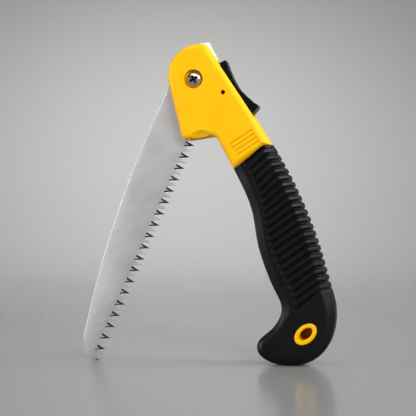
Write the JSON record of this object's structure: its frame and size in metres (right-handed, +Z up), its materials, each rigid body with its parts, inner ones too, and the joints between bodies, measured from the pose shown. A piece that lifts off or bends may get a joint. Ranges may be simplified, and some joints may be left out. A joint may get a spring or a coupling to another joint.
{
  "type": "folding pruning saw",
  "caption": "Folding pruning saw: steel blade on a lockable pivot in a two-shell plastic handle with a ribbed rubber grip and a hanging eye.",
  "frame": {"origin": "on the surface the saw stands on, under the middle of its box, with the blade half open", "axes": "+Z up from the pommel and blade tip to the head, +X from the blade towards the handle, +Y through the thickness, away from the screw side"},
  "size_m": [0.1732, 0.026, 0.2158],
  "materials": {
    "yellow_plastic": "satin moulded",
    "black_rubber": "satin ribbed",
    "liner_steel": "bright zinc",
    "plated_steel": "nickel plated",
    "bushing_brass": "turned",
    "washer_plastic": "natural",
    "blade_steel": "ground",
    "lever_plastic": "satin",
    "spring_steel": "drawn wire"
  },
  "bodies": {
    "frame": {"shell_near": "yellow_plastic", "shell_far": "yellow_plastic", "grip_near": "black_rubber", "grip_far": "black_rubber", "head_liner": "liner_steel", "pivot_screw": "plated_steel", "pivot_screw_washer": "plated_steel", "pivot_nut": "plated_steel", "pivot_bushing": "bushing_brass", "blade_washer_near": "washer_plastic", "blade_washer_far": "washer_plastic", "lock_pin": "plated_steel", "lock_spring": "spring_steel", "shell_screw_neck": "plated_steel", "shell_screw_grip": "plated_steel", "shell_screw_pommel": "plated_steel"},
    "blade": {"blade": "blade_steel"},
    "lever": {"lock_lever": "lever_plastic"}
  },
  "joints": [
    {"name": "blade_pivot", "type": "hinge", "parent": "frame", "child": "blade", "pos_m": [-0.00788, 0, 0.19042], "axis": [0, 1, 0], "range_deg": [-40, 135]},
    {"name": "lever_pivot", "type": "hinge", "parent": "frame", "child": "lever", "pos_m": [0.01212, 0, 0.18132], "axis": [0, 1, 0], "range_deg": [0, 8], "stiffness_Nm_per_rad": 0.3, "springref_deg": -6.88, "deforming": ["lock_spring"]}
  ]
}
